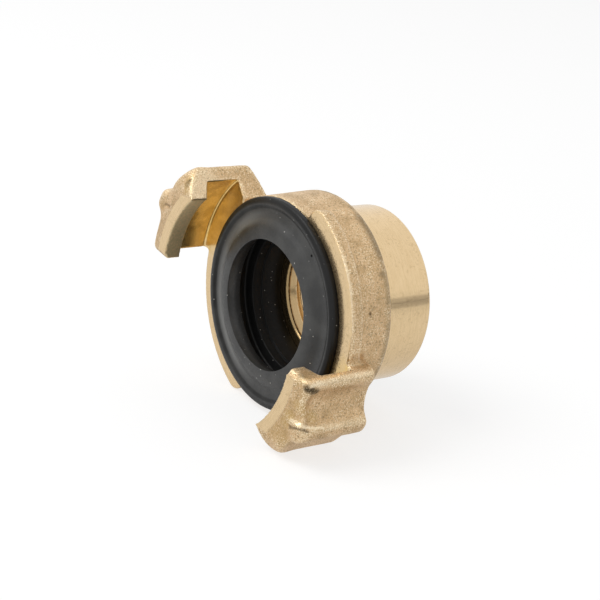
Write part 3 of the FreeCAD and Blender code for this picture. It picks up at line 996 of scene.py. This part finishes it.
@dataclass
class Thread:
    """The female pipe thread, a helical ridge on the wall of the bore."""

    root_radius: float = 13.26
    crest_radius: float = 12.10
    pitch: float = 1.814
    foot_share: float = 0.46
    flat_share: float = 0.08
    rounding: float = 0.12
    start: float = -0.35
    turns: int = 5
    steps: int = 96
    sharp_turn: float = 40.0

    def build(self) -> bpy.types.Object:
        """Makes the ridge by screwing its section along the axis.

        Returns:
            The piece.
        """
        bpy.ops.object.select_all(action="DESELECT")
        bpy.ops.mesh.primitive_plane_add(size=1.0)
        piece = Piece(bpy.context.object)
        piece.body.name = "pipe_thread_ridge"
        flat = self.pitch * self.flat_share
        foot = self.pitch * self.foot_share
        corners = [(self.root_radius, -foot), (self.root_radius, foot),
                   (self.crest_radius, -flat), (self.crest_radius, flat)]
        for vertex, (radius, along) in zip(piece.body.data.vertices, corners):
            vertex.co = Vector((radius, self.start - foot + along, 0)) * MM
        with piece.editing():
            bpy.ops.mesh.bevel(offset=self.rounding * MM, segments=2, affect="VERTICES")
            bpy.ops.mesh.delete(type="ONLY_FACE")
        piece.modify("SCREW", axis="Y", angle=math.tau, iterations=self.turns,
                     screw_offset=-self.pitch * MM, steps=self.steps, render_steps=self.steps,
                     use_merge_vertices=False)
        self.close_ends(piece)
        piece.paint("turned", np.ones(len(piece.body.data.vertices)))
        return piece.body

    def close_ends(self, piece: Piece) -> None:
        """Fades the ridge into the wall over a quarter turn at both ends and closes them.

        Args:
            piece: The open ridge.
        """
        places = piece.read()
        radius = np.hypot(places[:, 0], places[:, 2])
        last = self.turns * self.steps
        ring = np.arange(len(places)) // (len(places) // (last + 1))
        fade = np.clip(np.minimum(ring, last - ring) / (self.steps / 4), 0.04, 1.0)
        wall = self.root_radius * MM
        wanted = wall - (wall - radius) * fade
        places[:, 0] *= wanted / radius
        places[:, 2] *= wanted / radius
        piece.move_points(places)
        with piece.editing("DESELECT"):
            bpy.ops.mesh.select_non_manifold()
            bpy.ops.mesh.fill_holes(sides=0)
            bpy.ops.mesh.select_all(action="SELECT")
            bpy.ops.mesh.normals_make_consistent(inside=False)
        bpy.ops.object.shade_smooth_by_angle(angle=math.radians(self.sharp_turn))


@dataclass
class Seal:
    """The moulded rubber ring with its broad lip, spun from a rounded section."""

    steps: int = 240
    rounding_steps: int = 4

    def section(self) -> list:
        """Gives the section of the ring.

        Returns:
            Corners as radius, height in front of the rear face and rounding, in millimetres.
        """
        return [
            (12.40, 11.80, 0.15), (17.10, 11.80, 0.15), (17.10, 15.40, 0.15),
            (16.40, 15.40, 0.10), (16.40, 22.10, 0.10), (18.58, 22.10, 0.10),
            (18.58, 23.15, 0.35), (17.45, 23.55, 0.30), (16.75, 23.05, 0.35),
            (15.20, 22.90, 0.60), (13.60, 23.85, 0.60), (11.35, 24.10, 0.18),
            (12.25, 20.80, 0.20), (14.60, 20.40, 0.40), (14.60, 18.10, 0.40),
            (12.80, 17.70, 0.15), (12.80, 15.90, 0.15), (12.40, 15.90, 0.15),
        ]

    def build(self) -> bpy.types.Object:
        """Makes the ring.

        Returns:
            The piece, which stands for the solid.
        """
        corners = self.section()
        bpy.ops.object.select_all(action="DESELECT")
        bpy.ops.mesh.primitive_circle_add(vertices=len(corners), radius=1.0)
        piece = Piece(bpy.context.object)
        piece.body.name = "seal_ring"
        for vertex, (radius, height, _) in zip(piece.body.data.vertices, corners):
            vertex.co = Vector((radius, -height, 0)) * MM
        for rounding in sorted({corner[2] for corner in corners}, reverse=True):
            self.round_corners(piece, corners, rounding)
        with piece.editing():
            bpy.ops.mesh.spin(steps=self.steps, angle=math.tau, center=(0, 0, 0), axis=(0, 1, 0))
        piece.merge(0.002 * MM)
        piece.body.data.shade_smooth()
        return piece.body

    def round_corners(self, piece: Piece, corners: list, rounding: float) -> None:
        """Rounds the corners of the section that share one rounding.

        Args:
            piece: The object that holds the flat section.
            corners: The section's corners.
            rounding: The rounding to make now, in millimetres.
        """
        wanted = [Vector((radius, -height, 0)) * MM
                  for radius, height, share in corners if share == rounding]
        piece.select_only()
        bpy.ops.object.mode_set(mode="EDIT")
        bpy.ops.mesh.select_all(action="DESELECT")
        bpy.ops.object.mode_set(mode="OBJECT")
        for vertex in piece.body.data.vertices:
            vertex.select = any((vertex.co - place).length < 1e-7 for place in wanted)
        bpy.ops.object.mode_set(mode="EDIT")
        bpy.ops.mesh.bevel(offset=rounding * MM, segments=self.rounding_steps, affect="VERTICES")
        bpy.ops.object.mode_set(mode="OBJECT")


@dataclass(frozen=True)
class Lamp:
    """A square lamp that points at the coupling, in metres and watts."""

    name: str
    place: tuple
    size: float
    power: float
    aim: tuple = (0, -0.016, 0)

    def hang(self) -> None:
        """Adds the lamp to the scene."""
        data = bpy.data.lights.new(self.name, "AREA")
        data.size = self.size
        data.energy = self.power
        lamp = add_object(self.name, data)
        place = Vector(self.place)
        turn = (Vector(self.aim) - place).to_track_quat("-Z", "Y")
        lamp.matrix_world = Matrix.Translation(place) @ turn.to_matrix().to_4x4()


@dataclass
class Studio:
    """The white table, the surroundings, the lamps and the camera, in metres."""

    camera_place: tuple = (0.18672, -0.16027, 0.07877)
    camera_back: tuple = (0.75149, -0.57887, 0.31651)
    camera_up: tuple = (-0.31722, 0.10362, 0.94268)
    camera_near: float = 0.01
    lens: float = 85.6
    sensor: float = 36.0
    table_size: float = 2.6
    table_white: tuple = (0.80, 0.80, 0.80, 1)
    table_shade: tuple = (0.35, 0.35, 0.35, 1)
    table_glow: tuple = (0.72, 0.62)
    world_light: float = 0.55
    gap_place: tuple = (0.82, 0.57, 0.035)
    gap_squash: tuple = (1.2, 1.2, 15.0)
    gap_reach: tuple = (0.7, 1.3)
    gap_strength: float = 0.10
    lamps: tuple = (Lamp("key_lamp", (-0.25, -0.55, 0.75), 0.55, 3.8),
                    Lamp("back_lamp", (-0.55, 0.50, 0.60), 0.6, 0.06))

    def camera(self) -> None:
        """Sets up the camera at the photograph's angle."""
        data = bpy.data.cameras.new("camera")
        data.lens = self.lens
        data.sensor_width = self.sensor
        data.clip_start = self.camera_near
        camera = add_object("camera", data)
        back = Vector(self.camera_back).normalized()
        right = Vector(self.camera_up).cross(back).normalized()
        upward = back.cross(right)
        turn = Matrix((right, upward, back)).transposed().to_4x4()
        camera.matrix_world = Matrix.Translation(Vector(self.camera_place)) @ turn
        bpy.context.scene.camera = camera

    def rays(self, mix: Recipe) -> tuple:
        """Tells views from light.

        Args:
            mix: The recipe to add to.

        Returns:
            Whether a ray shows what it meets, and whether it is a reflection.
        """
        rays = mix.node("LightPath").outputs
        glossy = rays["Is Glossy Ray"]
        seen = mix.math("MAXIMUM", rays["Is Camera Ray"], glossy)
        return mix.math("MAXIMUM", seen, rays["Is Transmission Ray"]), glossy

    def table(self, low: float) -> None:
        """Lays the white table under the coupling.

        Args:
            low: The height of the table, in metres.
        """
        bpy.ops.object.select_all(action="DESELECT")
        bpy.ops.mesh.primitive_plane_add(size=self.table_size, location=(0, 0, low))
        table = bpy.context.object
        table.name = "table"
        mix = Recipe(bpy.data.materials.new("white_table"))
        seen, glossy = self.rays(mix)
        paper = mix.node("BsdfDiffuse", {"Color": self.table_white})
        shaded = mix.node("BsdfDiffuse", {"Color": self.table_shade})
        strength = mix.between(glossy, 0.0, 1.0, *self.table_glow)
        glow = mix.node("Emission", {"Color": WHITE, "Strength": strength})
        bright = mix.node("AddShader", {0: shaded.outputs[0], 1: glow.outputs[0]})
        both = mix.node("MixShader", {0: seen, 1: paper.outputs[0], 2: bright.outputs[0]})
        table.data.materials.append(mix.finish(both))
        table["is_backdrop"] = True

    def world(self) -> None:
        """Sets the white surroundings, plainer as a light than as a view."""
        mix = Recipe(bpy.data.worlds.new("surroundings"), "OutputWorld")
        seen, glossy = self.rays(mix)
        lit = mix.node("Background", {"Color": WHITE, "Strength": self.world_light})
        white = mix.node("Background", {"Color": WHITE, "Strength": self.gap(mix, glossy)})
        both = mix.node("MixShader", {0: seen, 1: lit.outputs[0], 2: white.outputs[0]})
        bpy.context.scene.world = mix.finish(both)

    def gap(self, mix: Recipe, glossy: Socket) -> Socket:
        """Darkens a strip low in the surroundings, which only the shiny metal shows.

        Args:
            mix: The recipe to add to.
            glossy: Whether a ray is a reflection.

        Returns:
            The strength of the surroundings.
        """
        source = mix.node("TexCoord").outputs["Generated"]
        back = tuple(-part * scale for part, scale in zip(self.gap_place, self.gap_squash))
        squashed = mix.node("Mapping", {"Vector": source, "Location": back,
                                        "Scale": self.gap_squash})
        away = mix.node("VectorMath", {0: squashed.outputs[0]}, operation="DISTANCE")
        strength = mix.between(away.outputs["Value"], *self.gap_reach, self.gap_strength, 1.0)
        return mix.weigh(glossy, 1.0, strength)

    def build(self, low: float) -> None:
        """Sets up table, surroundings, lamps and camera.

        Args:
            low: The height of the table, in metres.
        """
        self.table(low)
        self.world()
        for lamp in self.lamps:
            lamp.hang()
        self.camera()
        bpy.context.scene.view_settings.view_transform = "Standard"


def main() -> None:
    """Builds and dresses every piece in order."""
    logging.basicConfig(level=logging.INFO, format="%(name)s: %(message)s")
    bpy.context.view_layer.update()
    brass = CastBrass().material()
    rubber = MouldedRubber().material()
    casting = Casting().build()
    thread = Thread().build()
    seal = Seal().build()
    for piece, material, slot in ((casting, brass, "brass_casting"),
                                  (thread, brass, "brass_casting"),
                                  (seal, rubber, "seal_rubber")):
        piece.data.materials.clear()
        piece.data.materials.append(material)
        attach(piece, BODY)
        LOG.info("%s: %d faces", piece.name, len(piece.data.polygons))
    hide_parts("coupling_body")
    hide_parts("form_seal")
    Studio().build(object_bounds()[0].z)


if __name__ == "__main__":
    main()
